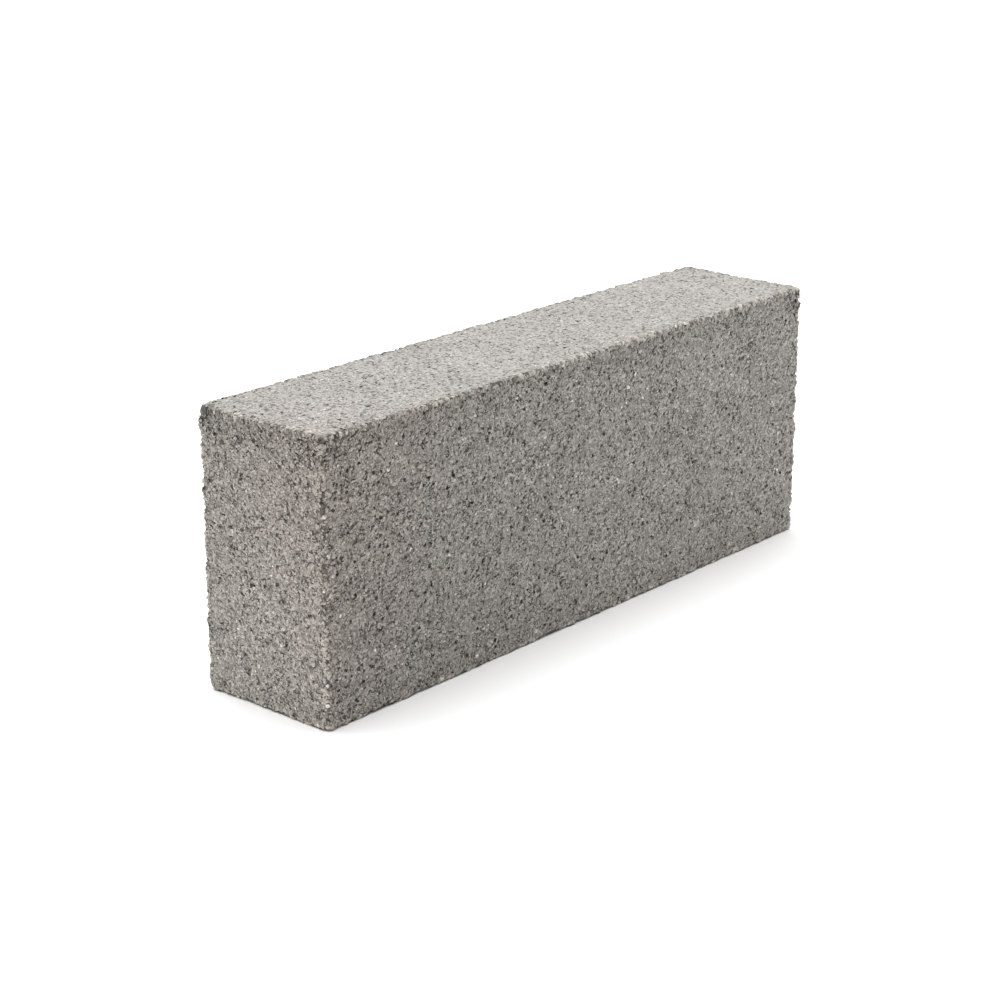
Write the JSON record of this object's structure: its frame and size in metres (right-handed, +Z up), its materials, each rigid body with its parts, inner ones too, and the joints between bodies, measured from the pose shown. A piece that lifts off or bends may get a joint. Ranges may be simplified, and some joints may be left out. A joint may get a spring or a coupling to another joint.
{
  "type": "solid concrete block",
  "caption": "Solid rectangular concrete masonry block with open granular faces, eased arrises and worn corners, laid in mortar to build walls.",
  "frame": {"origin": "middle of the bottom bed face, on the surface that the block stands on", "axes": "+X along the length, +Y through the thickness, +Z up, from the bottom bed face to the top bed face"},
  "size_m": [0.49, 0.105, 0.185],
  "materials": {
    "concrete": "open-textured grey concrete of crushed grains, matt and pitted"
  },
  "bodies": {
    "root": {"block": "concrete"}
  },
  "joints": []
}
